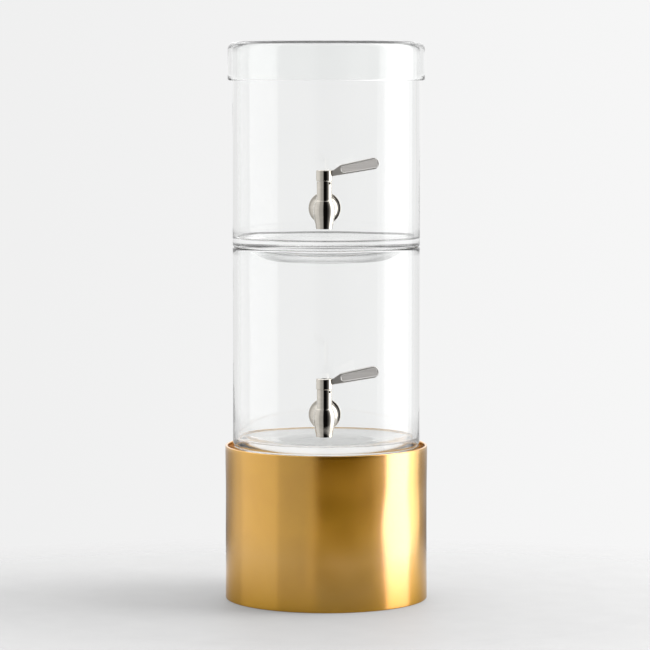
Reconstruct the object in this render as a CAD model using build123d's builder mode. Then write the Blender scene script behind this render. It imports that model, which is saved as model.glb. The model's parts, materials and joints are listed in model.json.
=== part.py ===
from build123d import *
import os
from math import asin, cos, degrees, radians, sin, sqrt, tan

# Two-tier glass beverage dispenser: two stacked jars with spigots, a cap lid and a brass stand.
# Millimetres, +Z up. The origin is on the floor, in the middle of the stand's base.
# The spigots are at the front, towards -Y, and their levers point to +X when closed.

# Stand
stand_height = 148.3
stand_wall = 2.4
stand_clearance = 5.1  # between the jar and the stand's inside
stand_edge_radius = 0.9
shelf_depth = 15.0  # from the stand's upper edge down to the shelf that carries the jar
shelf_thickness = 3.0
shelf_leg_height = 14.0
shelf_leg_wall = 2.0
weld_gap = 0.1

# Jars
jar_diameter = 180.0
jar_wall = 4.5
jar_height = 192.9  # from the shoulder that rests on the next jar to the rim
jar_floor = 7.9  # above the shoulder
jar_floor_radius = 2.0
jar_corner_radius = 2.0
nest_clearance = 1.5  # between the root of the foot and the inside of the jar below
foot_depth = 13.8
foot_bowl = 38.3  # width of the curved band around the foot's flat middle
stack_gap = 0.1

# Lid
lid_gap = 1.4
lid_wall = 3.2
lid_plate = 2.8
lid_crown = 0.8
lid_skirt = 34.2
lid_corner_radius = 8.0
lid_inner_radius = 2.0
lid_rest_gap = 0.2

# Spigot body: heights are from the shank's axis, reaches are from the jar's outer face
spigot_rise = 40.4  # shank's axis above the jar's shoulder
spigot_hole_clearance = 0.75
shank_diameter = 15.5
shank_bore_diameter = 8.0
shank_chamfer = 0.8
shank_end = 1.7  # past the nut
flange_diameter = 30.2
flange_edge = 1.0
flange_round = 0.8
flange_slope = 20.0
flange_sweep = 4.5  # along the shank
neck_root_diameter = 19.0
neck_diameter = 16.4
barrel_reach = 28.0
barrel_diameter = 14.0
barrel_top = 25.7
barrel_flare_top = 11.0
collar_diameter = 16.4
collar_height = 7.4
shoulder_diameter = 20.2
shoulder_height = -1.5
spout_tip_diameter = 15.2
spout_tip = -18.2
spout_taper = 0.10
spout_bore_diameter = 8.4
spout_mouth_diameter = 11.4

# Seals and nut on the shank
gasket_diameter = 28.0
gasket_thin = 1.2
gasket_edge = 1.0
gasket_clearance = 0.15
saddle_gap = 0.05
washer_diameter = 26.0
washer_thickness = 1.2
washer_clearance = 0.25
nut_flats = 22.0
nut_thickness = 6.0
nut_clearance = 0.08
nut_chamfer = 0.9

# Valve plug in the barrel
plug_diameter = 10.0
plug_clearance = 0.05  # radial running clearance in the barrel
plug_bottom = -8.0
plug_seat_gap = 0.4
port_diameter = 4.8
port_depth = 3.0  # above the port's axis
seal_heights = (6.5, -5.7)
seal_thickness = 1.5
seal_groove_depth = 1.55
seal_gap = 0.02
drive_width = 6.0
drive_height = 4.6
drive_clearance = 0.05

# Stop pin, which runs in a quarter-turn groove of the plug
turn = 90.0
pin_angle = -42.0  # from +X, towards the front
pin_diameter = 2.4
pin_height = 24.0
pin_recess = 0.7
pin_reach = 1.4  # into the plug
pin_play = 0.3
pin_hole_clearance = 0.02

# Handle hub, lever and screw
hub_diameter = 15.2
hub_gap = 0.3
hub_height = 10.0
hub_chamfer = 0.4
lever_axis_height = 33.2  # where the lever's middle line crosses the barrel's axis
lever_tilt = 11.2
lever_thickness = 4.0
lever_root = 4.6
lever_root_end = 9.2
lever_neck_low = -4.3
lever_neck_high = 1.2
lever_neck_top_end = 9.0
lever_paddle_start = 17.0
lever_paddle_high = 4.8
lever_tip = 51.5
lever_tip_width = 11.2
lever_tip_radius = 5.2
lever_neck_radius = 5.0
lever_edge_radius = 0.7
pocket_start = 15.6
pocket_inset = 1.3
pocket_depth = 0.8
pocket_root_radius = 3.0
pocket_tip_radius = 3.6
slot_clearance = 0.05
screw_diameter = 3.0
screw_clearance = 0.1
screw_head_diameter = 5.6
screw_depth = 8.0
screw_recess = 0.25
screw_head_rim = 0.3
screw_socket_flats = 2.0
screw_socket_depth = 1.1

# Radii and places that follow from the sizes above
jar_r = jar_diameter / 2
jar_inner_r = jar_r - jar_wall
rim_r = jar_wall / 2
foot_r = jar_inner_r - nest_clearance
foot_flat_r = foot_r - foot_bowl
stand_inner_r = jar_r + stand_clearance
stand_r = stand_inner_r + stand_wall
lid_inner_r = jar_r + lid_gap
lid_r = lid_inner_r + lid_wall
shelf_top = stand_height - shelf_depth
lower_seat = shelf_top + foot_depth
upper_seat = lower_seat + jar_height + stack_gap
lid_seat = upper_seat + jar_height + lid_rest_gap
shank_r = shank_diameter / 2
flange_back = jar_r + gasket_thin
gasket_r = gasket_diameter / 2
inner_gasket_flat = sqrt(jar_inner_r**2 - gasket_r**2) - gasket_edge
nut_face = inner_gasket_flat - washer_thickness
nut_end = nut_face - nut_thickness
barrel_y = -(jar_r + barrel_reach)
barrel_r = barrel_diameter / 2
plug_r = plug_diameter / 2
bore_r = plug_r + plug_clearance
hub_bottom = barrel_top + hub_gap
hub_top = hub_bottom + hub_height
tiers = {"lower": lower_seat, "upper": upper_seat}


def front_plane(y, z):
    """Upright plane across the front: its x is +X, its y is +Z and it faces -Y."""
    return Plane(origin=(0, y, z), x_dir=(1, 0, 0), z_dir=(0, -1, 0))


def side_plane(z):
    """Upright plane through the shank: its x runs to the front and its y is +Z."""
    return Plane(origin=(0, 0, z), x_dir=(0, -1, 0), z_dir=(-1, 0, 0))


def radial_plane(angle, z):
    """Upright plane through the barrel's axis, turned from +X by an angle."""
    c, s = cos(radians(angle)), sin(radians(angle))
    return Plane(origin=(0, barrel_y, z), x_dir=(c, s, 0), z_dir=(s, -c, 0))


def level_plane(z):
    """Level plane at a height, centred on the barrel's axis."""
    return Plane(origin=(0, barrel_y, z))


def pin_plane(shank_z):
    """Plane across the stop pin at the barrel's axis, facing out along the pin."""
    c, s = cos(radians(pin_angle)), sin(radians(pin_angle))
    return Plane(origin=(0, barrel_y, shank_z + pin_height), x_dir=(-s, c, 0), z_dir=(c, s, 0))


def lever_plane(shank_z):
    """Upright plane along the tilted lever: its x runs out to the tip."""
    c, s = cos(radians(lever_tilt)), sin(radians(lever_tilt))
    return Plane(origin=(0, barrel_y, shank_z + lever_axis_height), x_dir=(c, 0, s), z_dir=(0, -1, 0))


def barrel_axis():
    """The upright axis that the handle turns about."""
    return Axis((0, barrel_y, 0), (0, 0, 1))


def shank_axis(z):
    """The level axis of the shank, from front to back."""
    return Axis((0, 0, z), (0, 1, 0))


def save(piece, name):
    """Labels a finished piece and writes its file."""
    piece.part.label = name
    export_step(piece.part, f"parts/{name}.step")


def make_stand_shell():
    """Open tube of the stand, with both edges rounded."""
    edge = stand_edge_radius
    with BuildPart() as shell:
        with BuildSketch(Plane.XZ):
            with Locations(((stand_inner_r + stand_r) / 2, stand_height / 2)):
                RectangleRounded(stand_wall, stand_height, edge)
        revolve(axis=Axis.Z)
    return shell


def make_stand_shelf():
    """Shallow pan fixed upside down in the stand: a plate for the jar's foot and a leg on the wall."""
    outer = stand_inner_r - weld_gap
    leg_inner = outer - shelf_leg_wall
    low = shelf_top - shelf_leg_height
    under = shelf_top - shelf_thickness
    with BuildPart() as shelf:
        with BuildSketch(Plane.XZ):
            with BuildLine():
                Polyline(
                    (0, shelf_top),
                    (outer, shelf_top),
                    (outer, low),
                    (leg_inner, low),
                    (leg_inner, under),
                    (0, under),
                    close=True,
                )
            make_face()
        revolve(axis=Axis.Z)
    return shelf


def make_jar(seat):
    """Straight glass jar with a thick floor, a bowl-shaped foot below its shoulder and a round rim."""
    corner = jar_corner_radius
    rim = jar_height - rim_r
    cove_r = jar_inner_r - jar_floor_radius
    cove_top = jar_floor + jar_floor_radius
    with BuildPart() as jar:
        with BuildSketch(front_plane(0, seat)):
            with BuildLine():
                Line((0, -foot_depth), (foot_flat_r, -foot_depth))
                TangentArc((foot_flat_r, -foot_depth), (foot_r, 0), tangent=(1, 0))
                Line((foot_r, 0), (jar_r - corner, 0))
                TangentArc((jar_r - corner, 0), (jar_r, corner), tangent=(1, 0))
                Line((jar_r, corner), (jar_r, rim))
                TangentArc((jar_r, rim), (jar_inner_r, rim), tangent=(0, 1))
                Line((jar_inner_r, rim), (jar_inner_r, cove_top))
                TangentArc((jar_inner_r, cove_top), (cove_r, jar_floor), tangent=(0, -1))
                Polyline((cove_r, jar_floor), (0, jar_floor), (0, -foot_depth))
            make_face()
        revolve(axis=Axis.Z)
        with BuildSketch(front_plane(-(jar_inner_r - jar_wall), seat + spigot_rise)):
            Circle(shank_r + spigot_hole_clearance)
        extrude(amount=3 * jar_wall, mode=Mode.SUBTRACT)
    return jar


def make_lid():
    """Glass cap: a slightly crowned plate with a skirt outside the jar's rim."""
    edge = lid_plate
    corner = lid_corner_radius
    inner = lid_inner_radius
    lip = lid_wall / 2
    foot = -lid_skirt + lip
    top_span = lid_r - corner
    under_span = lid_inner_r - inner
    top_radius = (top_span**2 + lid_crown**2) / (2 * lid_crown)
    under_radius = (under_span**2 + lid_crown**2) / (2 * lid_crown)
    with BuildPart() as lid:
        with BuildSketch(front_plane(0, lid_seat)):
            with BuildLine():
                RadiusArc((0, edge + lid_crown), (top_span, edge), top_radius)
                TangentArc((top_span, edge), (lid_r, edge - corner), tangent=(1, 0))
                Line((lid_r, edge - corner), (lid_r, foot))
                TangentArc((lid_r, foot), (lid_inner_r, foot), tangent=(0, -1))
                Line((lid_inner_r, foot), (lid_inner_r, -inner))
                TangentArc((lid_inner_r, -inner), (under_span, 0), tangent=(0, 1))
                RadiusArc((under_span, 0), (0, lid_crown), -under_radius)
                Line((0, lid_crown), (0, edge + lid_crown))
            make_face()
        revolve(axis=Axis.Z)
    return lid


def make_spigot_body(shank_z):
    """Cast body: shank and flange along Y, barrel and bell-shaped spout upright in front."""
    flange_r = flange_diameter / 2
    face = flange_back + flange_edge + flange_round
    face_r = flange_r - flange_round * tan(radians(90 - flange_slope) / 2)
    face_run = (sin(radians(flange_slope)), -cos(radians(flange_slope)))
    sweep_end = (face + flange_sweep, neck_root_diameter / 2)
    neck_r = neck_diameter / 2
    collar_r = collar_diameter / 2
    shoulder_r = shoulder_diameter / 2
    tip_r = spout_tip_diameter / 2
    shank_tip = nut_end - shank_end
    with BuildPart() as body:
        # Shank, flange and neck
        with BuildSketch(side_plane(shank_z)):
            with BuildLine():
                Polyline(
                    (-barrel_y, neck_r),
                    (-barrel_y, 0),
                    (shank_tip, 0),
                    (shank_tip, shank_r - shank_chamfer),
                    (shank_tip + shank_chamfer, shank_r),
                    (flange_back, shank_r),
                    (flange_back, flange_r),
                    (flange_back + flange_edge, flange_r),
                )
                TangentArc((flange_back + flange_edge, flange_r), (face, face_r), tangent=(1, 0))
                TangentArc((face, face_r), sweep_end, tangent=face_run)
                Line(sweep_end, (-barrel_y, neck_r))
            make_face()
        revolve(axis=shank_axis(shank_z))
        # Barrel, shoulder and spout
        with BuildSketch(front_plane(barrel_y, shank_z)):
            with BuildLine():
                Line((0, spout_tip), (tip_r, spout_tip))
                Spline(
                    (tip_r, spout_tip),
                    (shoulder_r, shoulder_height),
                    tangents=((spout_taper, 1), (0, 1)),
                )
                TangentArc((shoulder_r, shoulder_height), (collar_r, collar_height), tangent=(0, 1))
                TangentArc((barrel_r, barrel_flare_top), (collar_r, collar_height), tangent=(0, -1))
                Polyline((barrel_r, barrel_flare_top), (barrel_r, barrel_top), (0, barrel_top))
                Line((0, barrel_top), (0, spout_tip))
            make_face()
        revolve(axis=barrel_axis())
        # Bores of the barrel, the spout and the shank
        with BuildSketch(front_plane(barrel_y, shank_z)):
            seat = plug_bottom - plug_seat_gap
            with BuildLine():
                Polyline(
                    (0, barrel_top),
                    (bore_r, barrel_top),
                    (bore_r, seat),
                    (spout_bore_diameter / 2, seat),
                    (spout_mouth_diameter / 2, spout_tip),
                    (0, spout_tip),
                    close=True,
                )
            make_face()
        revolve(axis=barrel_axis(), mode=Mode.SUBTRACT)
        with BuildSketch(front_plane(-shank_tip, shank_z)):
            Circle(shank_bore_diameter / 2)
        extrude(amount=-barrel_y - shank_tip, mode=Mode.SUBTRACT)
        # Hole of the stop pin
        with BuildSketch(pin_plane(shank_z)):
            Circle(pin_diameter / 2 + pin_hole_clearance)
        extrude(amount=barrel_r, mode=Mode.SUBTRACT)
    return body


def make_outer_gasket(shank_z):
    """Silicone ring between the flange and the jar, saddled to the jar's outside."""
    with BuildPart() as gasket:
        with BuildSketch(front_plane(-flange_back, shank_z)):
            Circle(gasket_r)
            Circle(shank_r + gasket_clearance, mode=Mode.SUBTRACT)
        extrude(amount=-gasket_r)
        with Locations((0, 0, shank_z)):
            Cylinder(jar_r + saddle_gap, gasket_diameter, mode=Mode.SUBTRACT)
    return gasket


def make_inner_gasket(shank_z):
    """Silicone ring inside the jar, rounded to the jar's inside."""
    with BuildPart() as gasket:
        with BuildSketch(front_plane(-inner_gasket_flat, shank_z)):
            Circle(gasket_r)
            Circle(shank_r + gasket_clearance, mode=Mode.SUBTRACT)
        extrude(amount=gasket_r)
        with Locations((0, 0, shank_z)):
            Cylinder(jar_inner_r - saddle_gap, 2 * gasket_diameter, mode=Mode.INTERSECT)
    return gasket


def make_thrust_washer(shank_z):
    """Flat steel washer between the inner gasket and the nut."""
    with BuildPart() as washer:
        with BuildSketch(front_plane(-nut_face, shank_z)):
            Circle(washer_diameter / 2)
            Circle(shank_r + washer_clearance, mode=Mode.SUBTRACT)
        extrude(amount=washer_thickness)
    return washer


def make_lock_nut(shank_z):
    """Hexagon nut on the shank, with its inner corners bevelled."""
    corner_r = nut_flats / sqrt(3)
    with BuildPart() as nut:
        with BuildSketch(front_plane(-nut_end, shank_z)):
            RegularPolygon(nut_flats / 2, 6, major_radius=False)
            Circle(shank_r + nut_clearance, mode=Mode.SUBTRACT)
        extrude(amount=nut_thickness)
        with BuildSketch(side_plane(shank_z)):
            with BuildLine():
                Polyline(
                    (nut_end, corner_r - nut_chamfer),
                    (nut_end, corner_r + nut_chamfer),
                    (nut_end + nut_chamfer, corner_r + nut_chamfer),
                    (nut_end + nut_chamfer, corner_r),
                    close=True,
                )
            make_face()
        revolve(axis=shank_axis(shank_z), mode=Mode.SUBTRACT)
    return nut


def make_stop_pin(shank_z):
    """Pin through the barrel's wall. Its outer end lies below the surface."""
    inner = plug_r - pin_reach
    with BuildPart() as pin:
        with BuildSketch(pin_plane(shank_z).offset(inner)):
            Circle(pin_diameter / 2)
        extrude(amount=barrel_r - pin_recess - inner)
    return pin


def make_valve_plug(shank_z):
    """Plug that closes the barrel: side port, outlet, seal grooves, stop groove and square drive."""
    groove_r = plug_r - seal_groove_depth
    stop_r = plug_r - pin_reach - pin_play
    stop_half = pin_diameter / 2 + pin_play
    margin = degrees(asin(stop_half / stop_r))
    with BuildPart() as plug:
        with BuildSketch(level_plane(shank_z + plug_bottom)):
            Circle(plug_r)
        extrude(amount=hub_bottom - plug_bottom)
        with BuildSketch(level_plane(shank_z + hub_bottom)):
            Rectangle(drive_width, drive_width)
        extrude(amount=drive_height)
        # Outlet up from the spout, and the port that meets the shank when the lever points forward
        with BuildSketch(level_plane(shank_z + plug_bottom)):
            Circle(port_diameter / 2)
        extrude(amount=port_depth - plug_bottom, mode=Mode.SUBTRACT)
        with BuildSketch(Plane(origin=(0, barrel_y, shank_z), x_dir=(0, 1, 0), z_dir=(-1, 0, 0))):
            Circle(port_diameter / 2)
        extrude(amount=plug_diameter, mode=Mode.SUBTRACT)
        # Seal grooves
        with BuildSketch(front_plane(barrel_y, shank_z)):
            with Locations(*[((groove_r + plug_r) / 2, height) for height in seal_heights]):
                Rectangle(seal_groove_depth, seal_thickness + 2 * seal_gap)
        revolve(axis=barrel_axis(), mode=Mode.SUBTRACT)
        # Quarter-turn groove for the stop pin
        with BuildSketch(radial_plane(pin_angle - margin, shank_z)):
            with Locations(((stop_r + plug_r) / 2, pin_height)):
                Rectangle(plug_r - stop_r, 2 * stop_half)
        revolve(axis=barrel_axis(), revolution_arc=turn + 2 * margin, mode=Mode.SUBTRACT)
        # Thread hole of the handle screw
        with BuildSketch(level_plane(shank_z + hub_bottom + drive_height)):
            Circle(screw_diameter / 2 + screw_clearance)
        extrude(amount=-screw_depth, mode=Mode.SUBTRACT)
    return plug


def make_plug_seals(shank_z):
    """Two rubber O-rings in the plug's grooves."""
    radius = seal_thickness / 2
    centre = plug_r - seal_groove_depth + seal_gap + radius
    with BuildPart() as seals:
        with BuildSketch(front_plane(barrel_y, shank_z)):
            with Locations(*[(centre, height) for height in seal_heights]):
                Circle(radius)
        revolve(axis=barrel_axis())
    return seals


def make_handle_hub(shank_z):
    """Round hub on the plug's drive, with an open slot for the lever and a countersunk screw hole."""
    hub_r = hub_diameter / 2
    slot_low = lever_neck_low - slot_clearance
    with BuildPart() as hub:
        with BuildSketch(level_plane(shank_z + hub_bottom)):
            Circle(hub_r)
        extrude(amount=hub_height)
        chamfer(hub.edges().filter_by(GeomType.CIRCLE), hub_chamfer)
        with BuildSketch(level_plane(shank_z + hub_bottom)):
            Rectangle(drive_width + 2 * drive_clearance, drive_width + 2 * drive_clearance)
        extrude(amount=drive_height + drive_clearance, mode=Mode.SUBTRACT)
        # Slot of the lever's root
        with BuildSketch(lever_plane(shank_z)):
            with Locations((lever_root - slot_clearance + hub_r, slot_low + hub_height / 2)):
                Rectangle(2 * hub_r, hub_height)
        extrude(amount=lever_thickness / 2 + slot_clearance, both=True, mode=Mode.SUBTRACT)
        # Screw hole
        with BuildSketch(front_plane(barrel_y, shank_z)):
            with BuildLine():
                Polyline(*screw_outline(hub_bottom, hub_top, screw_clearance), close=True)
            make_face()
        revolve(axis=barrel_axis(), mode=Mode.SUBTRACT)
    return hub


def screw_outline(low, top, clearance):
    """Half outline of the countersunk screw, or with a clearance that of its hole."""
    shaft_r = screw_diameter / 2 + clearance
    head_r = screw_head_diameter / 2 + clearance
    cone_top = hub_top - screw_recess - screw_head_rim
    cone_low = cone_top - (head_r - shaft_r)
    return [(0, low), (shaft_r, low), (shaft_r, cone_low), (head_r, cone_top), (head_r, top), (0, top)]


def make_lever(shank_z):
    """Flat paddle lever that tilts up, with a shallow pocket in both faces."""
    half_tip = lever_tip_width / 2
    slope = (lever_neck_low + half_tip) / (lever_tip - lever_root_end)
    inset = pocket_inset + pocket_depth
    start = pocket_start + pocket_depth
    root_low = lever_neck_low - slope * (start - lever_root_end) + inset
    root_high = lever_paddle_high - inset
    with BuildPart() as lever:
        with BuildSketch(lever_plane(shank_z)) as outline:
            with BuildLine():
                Polyline(
                    (lever_root, lever_neck_low),
                    (lever_root_end, lever_neck_low),
                    (lever_tip, -half_tip),
                    (lever_tip, half_tip),
                    (lever_paddle_start, lever_paddle_high),
                    (lever_neck_top_end, lever_neck_high),
                    (lever_root, lever_neck_high),
                    close=True,
                )
            make_face()
            corners = outline.vertices().sort_by(Axis.X)
            fillet(corners[-2:], lever_tip_radius)
            fillet(corners[3:5], lever_neck_radius)
        extrude(amount=lever_thickness / 2, both=True)
        fillet(lever.edges().filter_by(Plane.XZ), lever_edge_radius)
        # Pockets with bevelled walls
        floor = lever_thickness / 2 - pocket_depth
        for side in (-1, 1):
            with BuildSketch(lever_plane(shank_z).offset(side * floor)) as pocket:
                with BuildLine():
                    Polyline(
                        (start, root_low),
                        (lever_tip - inset, inset - half_tip),
                        (lever_tip - inset, half_tip - inset),
                        (start, root_high),
                        close=True,
                    )
                make_face()
                pocket_corners = pocket.vertices().sort_by(Axis.X)
                fillet(pocket_corners[:2], pocket_root_radius - pocket_depth)
                fillet(pocket_corners[2:], pocket_tip_radius - pocket_depth)
            extrude(amount=side * pocket_depth, taper=-45, mode=Mode.SUBTRACT)
    return lever


def make_handle_screw(shank_z):
    """Countersunk socket screw that holds the hub on the plug."""
    low = hub_bottom + drive_height - screw_depth + screw_clearance
    with BuildPart() as screw:
        with BuildSketch(front_plane(barrel_y, shank_z)):
            with BuildLine():
                Polyline(*screw_outline(low, hub_top - screw_recess, 0), close=True)
            make_face()
        revolve(axis=barrel_axis())
        with BuildSketch(level_plane(shank_z + hub_top - screw_recess)):
            RegularPolygon(screw_socket_flats / 2, 6, major_radius=False)
        extrude(amount=-screw_socket_depth, mode=Mode.SUBTRACT)
    return screw


tier_pieces = {
    "spigot_body": make_spigot_body,
    "outer_gasket": make_outer_gasket,
    "inner_gasket": make_inner_gasket,
    "thrust_washer": make_thrust_washer,
    "lock_nut": make_lock_nut,
    "stop_pin": make_stop_pin,
    "valve_plug": make_valve_plug,
    "plug_o_rings": make_plug_seals,
    "handle_hub": make_handle_hub,
    "lever": make_lever,
    "handle_screw": make_handle_screw,
}

os.makedirs("parts", exist_ok=True)
save(make_stand_shell(), "stand_shell")
save(make_stand_shelf(), "stand_shelf")
save(make_lid(), "lid")
for tier, seat in tiers.items():
    save(make_jar(seat), f"{tier}_jar")
    for name, make in tier_pieces.items():
        save(make(seat + spigot_rise), f"{tier}_{name}")
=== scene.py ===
import json
import math

import bmesh
import bpy
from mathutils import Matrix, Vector, noise


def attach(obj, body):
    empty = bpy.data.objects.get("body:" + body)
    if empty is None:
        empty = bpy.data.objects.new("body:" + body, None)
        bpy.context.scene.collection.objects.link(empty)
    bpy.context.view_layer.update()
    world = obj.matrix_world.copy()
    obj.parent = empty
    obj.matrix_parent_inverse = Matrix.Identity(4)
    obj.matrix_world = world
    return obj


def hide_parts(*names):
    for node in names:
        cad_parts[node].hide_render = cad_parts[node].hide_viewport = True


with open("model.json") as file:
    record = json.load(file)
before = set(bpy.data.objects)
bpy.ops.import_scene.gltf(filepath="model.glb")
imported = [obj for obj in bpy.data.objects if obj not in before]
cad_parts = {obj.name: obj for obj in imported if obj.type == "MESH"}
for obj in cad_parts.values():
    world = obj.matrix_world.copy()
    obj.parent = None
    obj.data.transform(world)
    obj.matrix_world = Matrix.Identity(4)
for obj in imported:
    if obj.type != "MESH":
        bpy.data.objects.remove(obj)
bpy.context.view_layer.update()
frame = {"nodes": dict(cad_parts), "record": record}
nodes = frame["nodes"]
scene = bpy.context.scene
MM = 0.001

# Sizes of the solids that are redrawn here with finer surfaces, in millimetres
SEATS = {"lower": 147.1, "upper": 340.1}
JAR_R, JAR_WALL, JAR_H, JAR_FLOOR = 90.0, 4.5, 192.9, 7.9
JAR_IN_R = JAR_R - JAR_WALL
JAR_CORNER, JAR_COVE = 2.0, 2.0
FOOT_R, FOOT_FLAT_R, FOOT_D = 84.0, 45.7, 13.8
SPIGOT_RISE, HOLE_R, HOLE_DEPTH = 40.4, 8.5, 30.0
BARREL_Y, LEVER_HALF = 118.0, 2.0
LID_SEAT, LID_R, LID_IN_R, LID_SKIRT = 533.2, 94.6, 91.4, 34.2
LID_PLATE, LID_CROWN, LID_CORNER, LID_INNER = 2.8, 0.8, 8.0, 2.0
STAND_R, STAND_WALL, STAND_H, STAND_EDGE = 97.5, 2.4, 148.3, 0.9

# Fineness of the redrawn surfaces
GLASS_SEGMENTS, STAND_SEGMENTS, HOLE_SEGMENTS = 256, 288, 64
FOOT_RINGS, FLOOR_RINGS = (0, 15, 30), (50, 25, 0)
SHARP = math.radians(40)  # edges that bend more than this stay sharp

# Unevenness of the glass: depth and spread in millimetres, and the share of it that a jar's inside has
JAR_DEPTH, JAR_SPREAD, JAR_INSIDE = 0.10, 55.0, 0.7
LID_DEPTH, LID_SPREAD = 0.08, 50.0

# Hammer dents in the stand: broad ones, fine ones and a single deep one
# Lengths are in millimetres and angles in degrees from the right towards the front
DENT_LIMIT, DENT_FADE, DENT_SIDE = 1.9, 45.0, 58.0
BROAD_DEPTH, BROAD_SPREAD = 0.25, 46.0
FINE_DEPTH, FINE_SPREAD = 0.7, 26.0
DEEP_DEPTH, DEEP_TURN, DEEP_RISE = 1.5, 42.0, 76.0
DEEP_WIDTH, DEEP_HEIGHT = 12.0, 26.0

# Relief of the materials' grain, in metres
RELIEF = 0.0002

# Levels in the studio, where 1 is white
PALE = 0.885  # the room right behind the object, where metal mirrors it
BACKDROP = (0.872, 0.928)  # the backdrop at the picture's left and right ends
CLEAR = 1.005  # how much paler the backdrop is through glass, which dims it
INSIDE = 0.35  # share of the backdrop that is left after some reflections inside the glass
GLINT = 0.9  # the right soft box, where glass mirrors it inside
SKY = 1.0  # the room above and behind
DOME = 1.4  # the brightest part of the sky

# Levels of the room by azimuth in degrees, with 0 at the front and 90 at the right
ROOM_FRONT = [(-60, 0.54), (-40, 0.49), (-16, 0.44), (-6, 0.004), (32, 0.004), (52, 0.08), (62, 0.30),
              (72, 0.34), (77, 1.5), (100, 1.5), (119, 1.3)]
ROOM_HIGH = [(-180, PALE), (-176, PALE), (-168, 0.70), (-150, 0.72), (-120, 0.78)] + ROOM_FRONT + [
    (125, 0.65), (140, 0.74), (152, 0.68), (168, 0.68), (176, PALE), (180, PALE)]
ROOM_LOW = [(-180, 0.17), (-140, 0.17), (-122, 0.64)] + ROOM_FRONT + [(125, 0.42), (140, 0.24), (180, 0.17)]
GLINT_PATCH = [(67.6, 0), (68.4, 1), (124.5, 1), (125.5, 0)]

# Places and sizes of the floor, the main lamps and the camera, in metres, and its lens in millimetres
FLOOR_R, FLOOR_Y = 0.65, -0.04
FLOOR_FADE, FLOOR_SQUASH = (0.32, 0.64), 1.5
KEY_PLACE, KEY_TARGET, KEY_SIZE = (3.0, 0.0, 1.55), (0.0, 0.0, 1.55), (1.95, 5.1)
EYE_DISTANCE, EYE_HEIGHT, EYE_AZIMUTH = 3.0, 0.5014, math.radians(0.9)
EYE_TARGET, LENS = (-0.0012, 0, 0.2640), 173.0

# Bounces of light, enough to get through both jars and the lid
BOUNCES = 32


# Mesh helpers

def arc(cx, cz, radius, start, end, steps):
    """Points on an arc in the (radius, height) plane, with angles in degrees."""
    points = []
    for i in range(steps + 1):
        a = math.radians(start + (end - start) * i / steps)
        points.append((cx + radius * math.cos(a), cz + radius * math.sin(a)))
    return points


def run(start, end, steps):
    """Points on a straight line between two ends, without the ends."""
    (r0, z0), (r1, z1) = start, end
    return [(r0 + (r1 - r0) * i / steps, z0 + (z1 - z0) * i / steps) for i in range(1, steps)]


def to_object(bm, name):
    """Turns a bmesh into a smooth-shaded object."""
    bmesh.ops.recalc_face_normals(bm, faces=bm.faces)
    for face in bm.faces:
        face.smooth = True
    mesh = bpy.data.meshes.new(name)
    bm.to_mesh(mesh)
    bm.free()
    mesh.set_sharp_from_angle(angle=SHARP)
    obj = bpy.data.objects.new(name, mesh)
    scene.collection.objects.link(obj)
    return obj


def lathe(name, profile, shift, segments):
    """Revolves (radius, height) points about Z. shift(angle, radius, height) moves a point's radius."""
    bm = bmesh.new()
    rings = []
    for r, z in profile:
        if r < 1e-6:
            rings.append([bm.verts.new((0, 0, z * MM))])
            continue
        ring = []
        for i in range(segments):
            a = 2 * math.pi * i / segments
            moved = (r + shift(a, r, z)) * MM
            ring.append(bm.verts.new((moved * math.cos(a), moved * math.sin(a), z * MM)))
        rings.append(ring)
    loops = list(zip(rings, rings[1:]))
    if len(rings[0]) > 1:
        loops.append((rings[-1], rings[0]))
    for a, b in loops:
        for i in range(segments):
            j = (i + 1) % segments
            corners = [a[i % len(a)], a[j % len(a)], b[j % len(b)], b[i % len(b)]]
            unique = list(dict.fromkeys(corners))
            if len(unique) > 2:
                bm.faces.new(unique)
    return to_object(bm, name)


def wave(a, z, spread, seed):
    """Smooth noise on a cylinder, about -1 to 1, with features of a given size in millimetres."""
    k = JAR_R / spread
    return noise.noise(Vector((k * math.cos(a) + seed, k * math.sin(a) - seed, z / spread + 3.1 * seed)))


# Node helpers

def rgba(colour):
    """An opaque colour, where a single number is a grey."""
    return (*colour, 1) if isinstance(colour, tuple) else (colour, colour, colour, 1)


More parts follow.
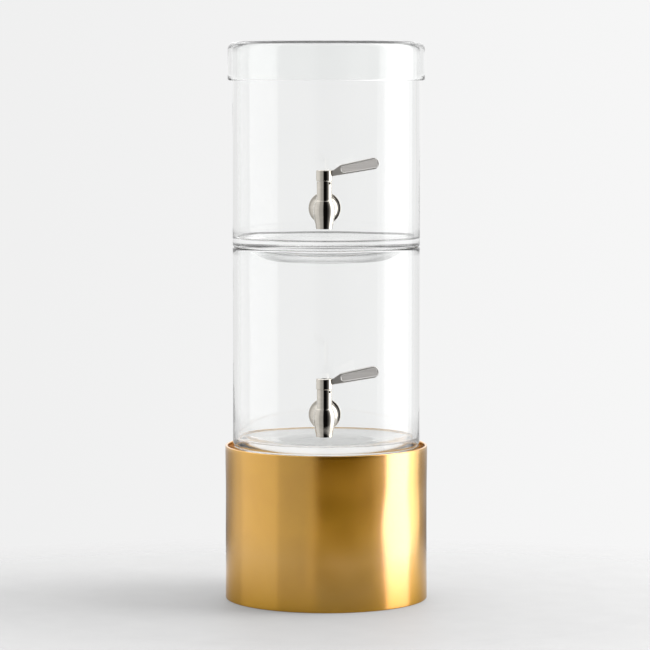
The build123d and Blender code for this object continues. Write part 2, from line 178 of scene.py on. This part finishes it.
class Graph:
    """The nodes of a material or world, with short ways to add the kinds that are used here."""

    def __init__(self, tree):
        self.nodes = tree.nodes
        self.links = tree.links

    def add(self, kind, **settings):
        """A new node with some settings."""
        node = self.nodes.new(f"ShaderNode{kind}")
        for key, value in settings.items():
            setattr(node, key, value)
        return node

    def put(self, value, socket):
        """Links an output to a socket, or sets the socket to a plain value."""
        if isinstance(value, bpy.types.NodeSocket):
            self.links.new(value, socket)
        else:
            socket.default_value = value

    def place(self, kind):
        """Coordinates of the shaded point, or in a world the direction."""
        return self.add("TexCoord").outputs[kind]

    def axes(self, vector):
        """The three parts of a vector."""
        node = self.add("SeparateXYZ")
        self.put(vector, node.inputs["Vector"])
        return [node.outputs[axis] for axis in "XYZ"]

    def math(self, operation, *values):
        """A sum, product or the like of outputs and numbers."""
        node = self.add("Math", operation=operation)
        for value, socket in zip(values, node.inputs):
            self.put(value, socket)
        return node.outputs["Value"]

    def length(self, vector, weights):
        """Length of a vector whose parts are first multiplied by weights."""
        weighted = self.add("VectorMath", operation="MULTIPLY")
        self.put(vector, weighted.inputs[0])
        self.put(weights, weighted.inputs[1])
        measured = self.add("VectorMath", operation="LENGTH")
        self.put(weighted.outputs["Vector"], measured.inputs[0])
        return measured.outputs["Value"]

    def scaled(self, colour, factor):
        """A colour times a factor."""
        node = self.add("VectorMath", operation="SCALE")
        self.put(colour, node.inputs[0])
        self.put(factor, node.inputs["Scale"])
        return node.outputs["Vector"]

    def mapped(self, value, low, high, start=0.0, end=1.0):
        """Maps the values from start to end to a range, and clamps them there."""
        node = self.add("MapRange")
        for key, number in (("From Min", start), ("From Max", end), ("To Min", low), ("To Max", high)):
            node.inputs[key].default_value = number
        self.put(value, node.inputs["Value"])
        return node.outputs["Result"]

    def spread(self, texture, low, high):
        """Maps the middle values of a noise texture, where most of it lies, to a range."""
        return self.mapped(texture, low, high, 0.3, 0.7)

    def window(self, value, low, high, soft):
        """1 between two values in millimetres and 0 outside, with soft ends."""
        up = self.mapped(value, 0.0, 1.0, (low - soft) * MM, (low + soft) * MM)
        down = self.mapped(value, 1.0, 0.0, (high - soft) * MM, (high + soft) * MM)
        return self.math("MULTIPLY", up, down)

    def ramp(self, value, stops):
        """A colour ramp from (place, colour) stops, where a single number is a grey."""
        node = self.add("ValToRGB")
        first, last = node.color_ramp.elements
        first.position, first.color = stops[0][0], rgba(stops[0][1])
        last.position, last.color = stops[-1][0], rgba(stops[-1][1])
        for place, colour in stops[1:-1]:
            node.color_ramp.elements.new(place).color = rgba(colour)
        self.put(value, node.inputs["Fac"])
        return node.outputs["Color"]

    def mix(self, factor, first, second, blend="MIX"):
        """A blend of two colours."""
        node = self.add("Mix", data_type="RGBA", blend_type=blend)
        for key, value in (("Factor", factor), ("A", first), ("B", second)):
            self.put(value, node.inputs[key])
        return node.outputs["Result"]

    def texture(self, scale, stretch=(1, 1, 1), detail=2.0, roughness=0.5):
        """Noise in object coordinates, stretched along the axes."""
        mapping = self.add("Mapping")
        mapping.inputs["Scale"].default_value = stretch
        self.put(self.place("Object"), mapping.inputs["Vector"])
        node = self.add("TexNoise")
        for key, number in (("Scale", scale), ("Detail", detail), ("Roughness", roughness)):
            node.inputs[key].default_value = number
        self.put(mapping.outputs["Vector"], node.inputs["Vector"])
        return node.outputs["Fac"]

    def bump(self, texture, strength):
        """Fine relief from a texture, as a normal."""
        node = self.add("Bump")
        node.inputs["Strength"].default_value = strength
        node.inputs["Distance"].default_value = RELIEF
        self.put(texture, node.inputs["Height"])
        return node.outputs["Normal"]


def new_material(name, settings):
    """A material, its graph and the sockets of its main shader, with constant settings."""
    mat = bpy.data.materials.new(name)
    mat.use_nodes = True
    graph = Graph(mat.node_tree)
    shader = graph.nodes["Principled BSDF"].inputs
    for key, value in settings.items():
        shader[key].default_value = value
    return mat, graph, shader


# Materials

def make_glass():
    """Clear glass, with painted shade in its tint where the upper jar's inner corner and foot bend light
    away.
    """
    mat, g, shader = new_material("clear_glass", {"Transmission Weight": 1.0, "IOR": 1.5})
    film = g.texture(14.0, detail=4.0)
    tone = g.ramp(film, [(0.3, (0.985, 0.99, 0.988)), (0.7, (0.995, 0.998, 0.996))])
    place = g.place("Object")
    radius = g.length(place, (1, 1, 0))
    height = g.math("SUBTRACT", g.axes(place)[2], SEATS["upper"] * MM)
    # Painted shade: the tint darkens at the upper jar's inner floor corner and foot, in place of the light
    # they bend away
    corner_shade = g.math("MULTIPLY", g.window(radius, JAR_IN_R - 1.8, JAR_IN_R + 1.0, 0.2),
                    g.window(height, JAR_FLOOR - 2.0, JAR_FLOOR + 1.7, 0.2))
    foot = g.math("MULTIPLY", g.window(radius, FOOT_FLAT_R - 2.0, FOOT_FLAT_R + 22.0, 3.0),
                  g.window(height, -FOOT_D - 1.0, -FOOT_D + 5.4, 0.6))
    painted_shade = g.math("MULTIPLY", g.mapped(corner_shade, 1.0, 0.15), g.mapped(foot, 1.0, 0.5))
    g.put(g.scaled(tone, painted_shade), shader["Base Color"])
    g.put(g.spread(film, 0.0, 0.012), shader["Roughness"])
    return mat


def make_brass():
    """Lacquered brass, brushed around, with painted shade towards the floor: darker metal and a thinner
    coat.
    """
    mat, g, shader = new_material("stand_brass", {
        "Metallic": 1.0, "Specular Tint": (0.75, 0.65, 0.5, 1), "Coat Roughness": 0.2, "Coat IOR": 2.08,
        "Anisotropic": 0.89, "Anisotropic Rotation": 0.25})
    blotch = g.texture(18.0, detail=5.0, roughness=0.6)
    tone = g.ramp(blotch, [(0.25, (0.78, 0.38, 0.004)), (0.5, (0.83, 0.42, 0.006)),
                           (0.75, (0.86, 0.445, 0.010))])
    height = g.axes(g.place("Object"))[2]
    # Painted shade: the metal darkens and its coat thins towards the floor, in place of the shadowed floor
    # it mirrors
    g.put(g.scaled(tone, g.mapped(height, 0.66, 1.0, 0.0, 0.075)), shader["Base Color"])
    g.put(g.mapped(height, 0.3, 1.0, 0.0, 0.05), shader["Coat Weight"])
    g.put(g.mapped(blotch, 0.24, 0.28), shader["Roughness"])
    around = g.add("Tangent", direction_type="RADIAL", axis="Z")
    g.put(around.outputs["Tangent"], shader["Tangent"])
    lines = g.texture(60.0, (1, 1, 40), detail=6.0, roughness=0.7)
    g.put(g.bump(lines, 0.01), shader["Normal"])
    return mat


def make_steel(name, colour, rough, grain, stretch, strength):
    """Steel with fine grain in its colour, gloss and relief."""
    mat, g, shader = new_material(name, {"Metallic": 1.0})
    texture = g.texture(grain, stretch, detail=5.0, roughness=0.65)
    dark = tuple(0.93 * c for c in colour)
    light = tuple(1.05 * c for c in colour)
    g.put(g.ramp(texture, [(0.3, dark), (0.7, light)]), shader["Base Color"])
    g.put(g.spread(texture, 0.8 * rough, 1.2 * rough), shader["Roughness"])
    g.put(g.bump(texture, strength), shader["Normal"])
    return mat


def make_lever():
    """Satin steel with a paler pocket and a painted highlight along its edges, told apart by their distance
    from the middle plane.
    """
    mat, g, shader = new_material("brushed_lever", {"Metallic": 0.6})
    side, pocket = (0.42, 0.40, 0.37), (0.92, 0.89, 0.86)
    edge_highlight, rim = (0.95, 0.94, 0.92), (0.46, 0.44, 0.41)
    away = g.math("ABSOLUTE", g.math("ADD", g.axes(g.place("Object"))[1], BARREL_Y * MM))
    depth = g.mapped(away, 0.0, 1.0, 0.0, LEVER_HALF * MM)
    # The pale edge band is a painted highlight on the sloped pocket walls and rounded edges
    tone = g.ramp(depth, [(0.0, side), (0.55, side), (0.58, pocket), (0.64, pocket), (0.70, edge_highlight),
                          (0.93, edge_highlight), (0.985, rim)])
    gloss = g.ramp(depth, [(0.55, 0.55), (0.58, 0.62), (0.64, 0.62), (0.70, 0.30), (0.93, 0.30),
                           (0.985, 0.50)])
    grain = g.texture(160.0, (0.15, 4, 4), detail=5.0, roughness=0.65)
    g.put(g.scaled(tone, g.spread(grain, 0.93, 1.05)), shader["Base Color"])
    g.put(gloss, shader["Roughness"])
    g.put(g.bump(grain, 0.10), shader["Normal"])
    return mat


def make_soft(name, colour, rough, clear):
    """Rubber, silicone or lacquer with a fine, uneven skin."""
    mat, g, shader = new_material(name, {"Transmission Weight": clear})
    texture = g.texture(220.0, detail=3.0)
    dark = tuple(0.9 * c for c in colour)
    g.put(g.ramp(texture, [(0.3, dark), (0.7, colour)]), shader["Base Color"])
    g.put(g.spread(texture, 0.85 * rough, 1.1 * rough), shader["Roughness"])
    g.put(g.bump(texture, 0.15), shader["Normal"])
    return mat


materials = {
    "clear_glass": make_glass(),
    "stand_brass": make_brass(),
    "shelf_white": make_soft("shelf_white", (0.86, 0.86, 0.84), 0.45, 0.0),
    "polished_steel": make_steel("polished_steel", (0.73, 0.69, 0.62), 0.05, 90.0, (1, 1, 6), 0.03),
    "brushed_lever": make_lever(),
    "satin_steel": make_steel("satin_steel", (0.62, 0.61, 0.60), 0.22, 120.0, (1, 1, 1), 0.06),
    "dark_steel": make_steel("dark_steel", (0.035, 0.033, 0.03), 0.55, 200.0, (1, 1, 1), 0.08),
    "clear_silicone": make_soft("clear_silicone", (0.82, 0.83, 0.82), 0.35, 0.5),
    "black_rubber": make_soft("black_rubber", (0.03, 0.03, 0.03), 0.55, 0.0),
}
for entry in frame["record"]["subparts"]:
    mesh = nodes[entry["node"]].data
    mesh.materials.clear()
    mesh.materials.append(materials[entry["material_slot"]])


def stand_for(obj, node, body, slot):
    """Shows a new piece in place of a solid."""
    obj.data.materials.clear()
    obj.data.materials.append(materials[slot])
    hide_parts(node)
    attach(obj, body)


# Glass jars

def jar_profile(seat):
    """Outline from the middle of the foot, up outside and down inside to the middle of the floor."""
    lip = JAR_WALL / 2
    rim = JAR_H - lip
    bowl = FOOT_R - FOOT_FLAT_R
    bend = (bowl ** 2 + FOOT_D ** 2) / (2 * FOOT_D)
    sweep = math.degrees(math.asin(bowl / bend))
    points = [(r, -FOOT_D) for r in FOOT_RINGS]
    points += arc(FOOT_FLAT_R, bend - FOOT_D, bend, -90, sweep - 90, 24)
    points += arc(JAR_R - JAR_CORNER, JAR_CORNER, JAR_CORNER, -90, 0, 10)
    points += run((JAR_R, JAR_CORNER), (JAR_R, rim), 24)
    points += arc(JAR_R - lip, rim, lip, 0, 180, 14)
    points += run((JAR_IN_R, rim), (JAR_IN_R, JAR_FLOOR + JAR_COVE), 24)
    points += arc(JAR_IN_R - JAR_COVE, JAR_FLOOR + JAR_COVE, JAR_COVE, 0, -90, 12)
    points += [(r, JAR_FLOOR) for r in FLOOR_RINGS]
    return [(r, z + seat) for r, z in points]


def jar_shift(seed, seat):
    """Slight unevenness of the blown wall, which only thins it and fades towards the corner and rim."""
    def shift(a, r, z):
        if r < JAR_IN_R - 0.01:
            return 0.0
        height = z - seat
        fade = max(0.0, min(1.0, (height - 6.0) / 20.0, (JAR_H - 4.0 - height) / 12.0))
        amount = JAR_DEPTH * (1 + wave(a, z, JAR_SPREAD, seed)) * fade
        return -amount if r > JAR_R - JAR_WALL / 2 else JAR_INSIDE * amount
    return shift


def drill(obj, z):
    """Cuts the spigot's hole through the jar's front wall."""
    bm = bmesh.new()
    bmesh.ops.create_cone(bm, cap_ends=True, segments=HOLE_SEGMENTS, radius1=HOLE_R * MM,
                          radius2=HOLE_R * MM, depth=HOLE_DEPTH * MM)
    cutter = to_object(bm, "cutter")
    cutter.rotation_euler = (math.pi / 2, 0, 0)
    cutter.location = (0, -(JAR_R - JAR_WALL / 2) * MM, z * MM)
    mod = obj.modifiers.new("hole", "BOOLEAN")
    mod.operation = "DIFFERENCE"
    mod.solver = "EXACT"
    mod.object = cutter
    bpy.context.view_layer.update()
    cut = bpy.data.meshes.new_from_object(obj.evaluated_get(bpy.context.evaluated_depsgraph_get()))
    obj.modifiers.clear()
    obj.data = cut
    cut.set_sharp_from_angle(angle=SHARP)
    bpy.data.objects.remove(cutter)


for i, (tier, seat) in enumerate(SEATS.items()):
    jar = lathe(f"{tier}_jar_glass", jar_profile(seat), jar_shift(2.3 + 5 * i, seat), GLASS_SEGMENTS)
    drill(jar, seat + SPIGOT_RISE)
    stand_for(jar, f"{tier}_jar", f"{tier}_vessel", "clear_glass")


# Glass lid

def crown(span, top, drop, steps):
    """Shallow dome from the axis out to a radius."""
    return [(span * i / steps, top - drop * (i / steps) ** 2) for i in range(steps)]


def lid_profile():
    """Outline from the middle of the top, down the skirt and back to the middle of the underside."""
    lip = (LID_R - LID_IN_R) / 2
    foot = -LID_SKIRT + lip
    span, under = LID_R - LID_CORNER, LID_IN_R - LID_INNER
    points = crown(span, LID_PLATE + LID_CROWN, LID_CROWN, 12)
    points += arc(span, LID_PLATE - LID_CORNER, LID_CORNER, 90, 0, 12)
    points += run((LID_R, LID_PLATE - LID_CORNER), (LID_R, foot), 6)
    points += arc(LID_R - lip, foot, lip, 0, -180, 14)
    points += run((LID_IN_R, foot), (LID_IN_R, -LID_INNER), 6)
    points += arc(under, -LID_INNER, LID_INNER, 0, 90, 8)
    points += crown(under, LID_CROWN, LID_CROWN, 12)[::-1]
    return [(r, z + LID_SEAT) for r, z in points]


def lid_shift(a, r, z):
    """Slight unevenness of the skirt's outside, which only thins it."""
    if r < LID_R - 1.0 or z > LID_SEAT - 4.0:
        return 0.0
    return -LID_DEPTH * (1 + wave(a, z, LID_SPREAD, 7.7))


stand_for(lathe("lid_glass", lid_profile(), lid_shift, GLASS_SEGMENTS), "lid", "lid", "clear_glass")


# Stand

def stand_profile():
    """Closed outline of the tube's wall with rounded edges."""
    inner = STAND_R - STAND_WALL
    e = STAND_EDGE
    points = arc(STAND_R - e, e, e, -90, 0, 5)
    points += run((STAND_R, e), (STAND_R, STAND_H - e), 48)
    points += arc(STAND_R - e, STAND_H - e, e, 0, 90, 5)
    points += arc(inner + e, STAND_H - e, e, 90, 180, 5)
    points += run((inner, STAND_H - e), (inner, e), 48)
    points += arc(inner + e, e, e, 180, 270, 5)
    return points


def stand_shift(a, r, z):
    """Soft hammer dents in the outside, which fade towards both edges."""
    if r < STAND_R - STAND_WALL / 2:
        return 0.0
    side = 0.15 + 0.85 * max(0.0, math.cos(a + math.radians(DENT_SIDE))) ** 3
    turn = math.degrees(math.remainder(a + math.radians(DEEP_TURN), 2 * math.pi))
    dent = BROAD_DEPTH * (1 + wave(a, 0.7 * z, BROAD_SPREAD, 4.2))
    dent += FINE_DEPTH * side * (1 + wave(a, 0.55 * z, FINE_SPREAD, 9.4))
    dent += DEEP_DEPTH * math.exp(-(turn / DEEP_WIDTH) ** 2 - ((z - DEEP_RISE) / DEEP_HEIGHT) ** 2)
    inside = max(0.0, min(1.0, z / DENT_FADE, (STAND_H - z) / DENT_FADE))
    return -DENT_LIMIT * math.tanh(dent / DENT_LIMIT) * math.sin(math.pi / 2 * inside) ** 2


stand = lathe("stand_tube", stand_profile(), stand_shift, STAND_SEGMENTS)
stand_for(stand, "stand_shell", "stand", "stand_brass")


# Studio

def make_floor():
    """A pale disc that keeps the shadow and fades out into the backdrop."""
    mat, g, shader = new_material("floor", {
        "Roughness": 0.6, "Specular IOR Level": 0.2,
        "Emission Color": (1, 1, 1, 1), "Emission Strength": 0.17})
    g.put(g.ramp(g.texture(30.0, detail=3.0), [(0.3, 0.43), (0.7, 0.45)]), shader["Base Color"])
    away = g.length(g.place("Object"), (1.0, FLOOR_SQUASH, 1.0))
    fade = g.add("MixShader")
    g.put(g.mapped(away, 0.0, 1.0, *FLOOR_FADE), fade.inputs["Fac"])
    g.put(g.nodes["Principled BSDF"].outputs["BSDF"], fade.inputs[1])
    g.put(g.add("BsdfTransparent").outputs["BSDF"], fade.inputs[2])
    g.put(fade.outputs["Shader"], g.nodes["Material Output"].inputs["Surface"])
    bm = bmesh.new()
    bmesh.ops.create_circle(bm, cap_ends=True, segments=64, radius=FLOOR_R)
    floor = to_object(bm, "floor")
    floor.location = (0, FLOOR_Y, 0)
    floor.data.materials.append(mat)
    return floor


def by_azimuth(g, turn, levels):
    """Grey levels around the full turn, from azimuths in degrees."""
    return g.ramp(turn, [((degrees + 180) / 360, level) for degrees, level in levels])


def make_room(g, direction, turn):
    """The room that lights the object and that it mirrors, brighter above and behind."""
    _, y, z = g.axes(direction)
    walls = g.mix(g.mapped(z, 0.0, 1.0, -0.14, -0.11), by_azimuth(g, turn, ROOM_LOW),
                  by_azimuth(g, turn, ROOM_HIGH))
    above = g.math("MULTIPLY", g.mapped(z, 0.0, 1.0, 0.40, 0.75), g.mapped(y, 0.0, 1.0, -0.45, 0.0))
    lean = g.add("VectorMath", operation="DOT_PRODUCT")
    g.put(direction, lean.inputs[0])
    g.put((0, 0.57, 0.82), lean.inputs[1])
    return g.mix(g.mapped(lean.outputs["Value"], 0.0, 1.0, 0.5, 0.75), g.mix(above, walls, rgba(SKY)),
                 rgba(DOME))


def make_world():
    """The room, and a pale backdrop where the camera sees it, also through glass."""
    world = bpy.data.worlds.new("studio")
    scene.world = world
    world.use_nodes = True
    g = Graph(world.node_tree)
    direction = g.place("Generated")
    x, y, _ = g.axes(direction)
    azimuth = g.math("ARCTAN2", x, g.math("MULTIPLY", y, -1.0))
    turn = g.mapped(azimuth, 0.0, 1.0, -math.pi, math.pi)
    path = g.add("LightPath").outputs
    in_glass = g.mapped(path["Transmission Depth"], 0.0, 1.0)
    through = g.math("MULTIPLY", in_glass, g.mapped(path["Glossy Depth"], 1.0, INSIDE, 0.4, 2.4))
    seen = g.math("MAXIMUM", path["Is Camera Ray"], through)
    backdrop = g.math("MULTIPLY", g.mapped(x, *BACKDROP, -0.11, 0.11), g.mapped(through, 1.0, CLEAR))
    view = g.mix(seen, make_room(g, direction, turn), backdrop)
    mirrored = g.math("MULTIPLY", in_glass, g.mapped(path["Glossy Depth"], 0.0, 1.0))
    glint = g.math("MULTIPLY", mirrored, by_azimuth(g, turn, GLINT_PATCH))
    g.put(g.mix(glint, view, rgba(GLINT), blend="ADD"), g.nodes["Background"].inputs["Color"])


def facing(place, target):
    """Rotation that turns a lamp or camera towards a target."""
    return (Vector(target) - Vector(place)).to_track_quat("-Z", "Y").to_euler()


def soft_box(name, place, target, size, power, receivers=None, colour=(1, 1, 1)):
    """A rectangular lamp. With receivers it lights only those, and only the stand casts shadows."""
    light = bpy.data.lights.new(name, "AREA")
    light.shape = "RECTANGLE"
    light.size, light.size_y = size
    light.energy = power
    light.color = colour
    lamp = bpy.data.objects.new(name, light)
    lamp.location = place
    lamp.rotation_euler = facing(place, target)
    lamp.visible_camera = False
    scene.collection.objects.link(lamp)
    if receivers:
        for kind, pieces in (("receiver_collection", receivers), ("blocker_collection", [stand])):
            group = bpy.data.collections.new(f"{name}_{kind}")
            for piece in pieces:
                group.objects.link(piece)
            setattr(lamp.light_linking, kind, group)
    return lamp


floor = make_floor()
make_world()
shelf = nodes["stand_shelf"]
metal = [nodes[name] for name in nodes if name.endswith(("_spigot_body", "_handle_hub", "_lever"))]
levers = [nodes[f"{tier}_lever"] for tier in SEATS]
right = soft_box("soft_box_right", (1.0, 0.25, 0.45), (0.0, 0.25, 0.45), (1.07, 2.0), 6)
right.visible_transmission = False
soft_box("soft_box_left", (-1.4, -0.26, 0.45), (0.0, -0.26, 0.45), (1.5, 2.0), 1.8, [stand, floor] + metal)
soft_box("soft_box_floor", KEY_PLACE, KEY_TARGET, KEY_SIZE, 115, [shelf, floor])
soft_box("soft_box_stand", KEY_PLACE, KEY_TARGET, KEY_SIZE, 90, [stand], colour=(0.55, 0.47, 1.08))
soft_box("soft_box_spill", (0.28, 0.0, 0.5), (0.14, 0.0, 0.0), (0.2, 0.2), 0.35, [floor])
soft_box("soft_box_top", (0.0, 0.0, 1.6), (0.0, 0.0, 0.0), (1.0, 1.0), 7, [shelf])
soft_box("soft_box_low", (0.4, -0.5, 0.001), (0.4, -0.5, 1.0), (1.0, 0.5), 0.6, [stand],
         colour=(1.0, 0.75, 0.25))
soft_box("soft_box_lever", (0.0, -1.2, 1.0), (0.05, -0.12, 0.3), (0.5, 0.5), 3.5, levers)

# Camera
camera = bpy.data.cameras.new("camera")
camera.sensor_width = 36
camera.lens = LENS
camera.clip_end = 100
eye = bpy.data.objects.new("camera", camera)
eye.location = (EYE_DISTANCE * math.sin(EYE_AZIMUTH), -EYE_DISTANCE * math.cos(EYE_AZIMUTH), EYE_HEIGHT)
eye.rotation_euler = facing(eye.location, EYE_TARGET)
scene.collection.objects.link(eye)
scene.camera = eye

scene.cycles.max_bounces = BOUNCES
scene.cycles.transmission_bounces = BOUNCES
scene.cycles.glossy_bounces = BOUNCES
scene.cycles.caustics_reflective = False
scene.view_settings.view_transform = "Standard"
